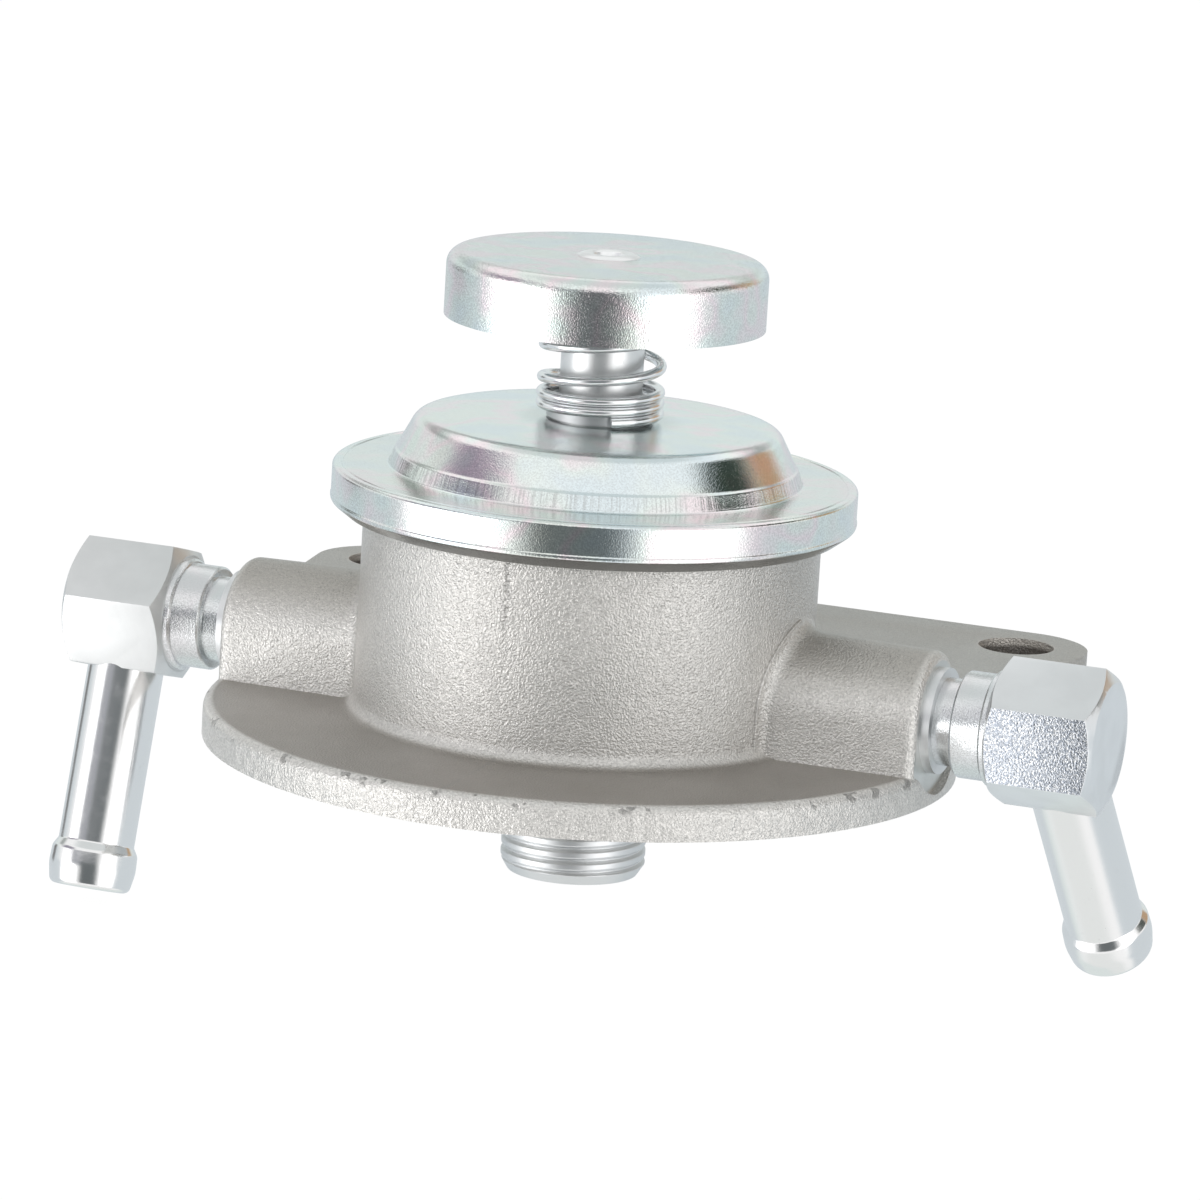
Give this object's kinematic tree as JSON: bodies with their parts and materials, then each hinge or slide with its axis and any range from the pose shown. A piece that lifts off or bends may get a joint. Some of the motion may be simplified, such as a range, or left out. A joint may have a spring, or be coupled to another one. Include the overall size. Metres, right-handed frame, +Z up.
{
  "type": "fuel priming pump",
  "caption": "Filter head with a hand-pressed diaphragm priming pump, side elbows with beaded hose pipes, rear fixing ears and a central filter stud.",
  "frame": {"origin": "pump axis at the gasket face under the flange, where the stud comes out", "axes": "+Z up the pump axis to the knob, +X along the ports to the outlet, +Y to the ears"},
  "size_m": [0.146, 0.1016, 0.0933],
  "materials": {
    "cast_body": "sand-cast aluminium, satin, fine grain",
    "zinc_plate": "bright zinc plate with a pale blue and pink passivation",
    "bright_plate": "bright plated, mirror-like",
    "satin_plate": "zinc plate over ground flats",
    "spring_wire": "drawn spring wire, zinc plated",
    "stud_steel": "turned steel, bright thread",
    "rod_steel": "ground and plated rod",
    "diaphragm_rubber": "fabric-reinforced nitrile",
    "seal_rubber": "moulded nitrile",
    "bush_steel": "turned steel, plated",
    "plate_steel": "pressed steel, zinc plated",
    "washer_alloy": "soft aluminium sealing washer",
    "valve_plastic": "moulded acetal",
    "valve_rubber": "nitrile disc"
  },
  "bodies": {
    "housing": {"pump_body": "cast_body", "filter_stud": "stud_steel", "top_cover": "zinc_plate", "rod_bush": "bush_steel", "dust_seal": "seal_rubber", "diaphragm": "diaphragm_rubber", "knob_spring": "spring_wire", "inlet_valve_seat": "valve_plastic", "inlet_valve_cage": "valve_plastic", "inlet_valve_spring": "spring_wire", "inlet_washer": "washer_alloy", "inlet_elbow": "satin_plate", "inlet_hose_pipe": "bright_plate", "outlet_valve_seat": "valve_plastic", "outlet_valve_cage": "valve_plastic", "outlet_valve_spring": "spring_wire", "outlet_washer": "washer_alloy", "outlet_elbow": "satin_plate", "outlet_hose_pipe": "bright_plate"},
    "plunger": {"upper_diaphragm_plate": "plate_steel", "lower_diaphragm_plate": "plate_steel", "rod_washer": "plate_steel", "plunger_rod": "rod_steel", "press_knob": "zinc_plate"},
    "inlet_disc": {"inlet_valve_disc": "valve_rubber"},
    "outlet_disc": {"outlet_valve_disc": "valve_rubber"}
  },
  "joints": [
    {"name": "knob_press", "type": "slide", "parent": "housing", "child": "plunger", "axis": [0, 0, -1], "range_m": [0, 0.009], "stiffness_N_per_m": 1200, "springref_m": -0.008, "deforming": ["knob_spring", "diaphragm"]},
    {"name": "inlet_valve_lift", "type": "slide", "parent": "housing", "child": "inlet_disc", "axis": [0, 0, 1], "range_m": [0, 0.001], "stiffness_N_per_m": 60, "springref_m": -0.002, "deforming": ["inlet_valve_spring"]},
    {"name": "outlet_valve_lift", "type": "slide", "parent": "housing", "child": "outlet_disc", "axis": [0, 0, -1], "range_m": [0, 0.001], "stiffness_N_per_m": 60, "springref_m": -0.002, "deforming": ["outlet_valve_spring"]}
  ]
}
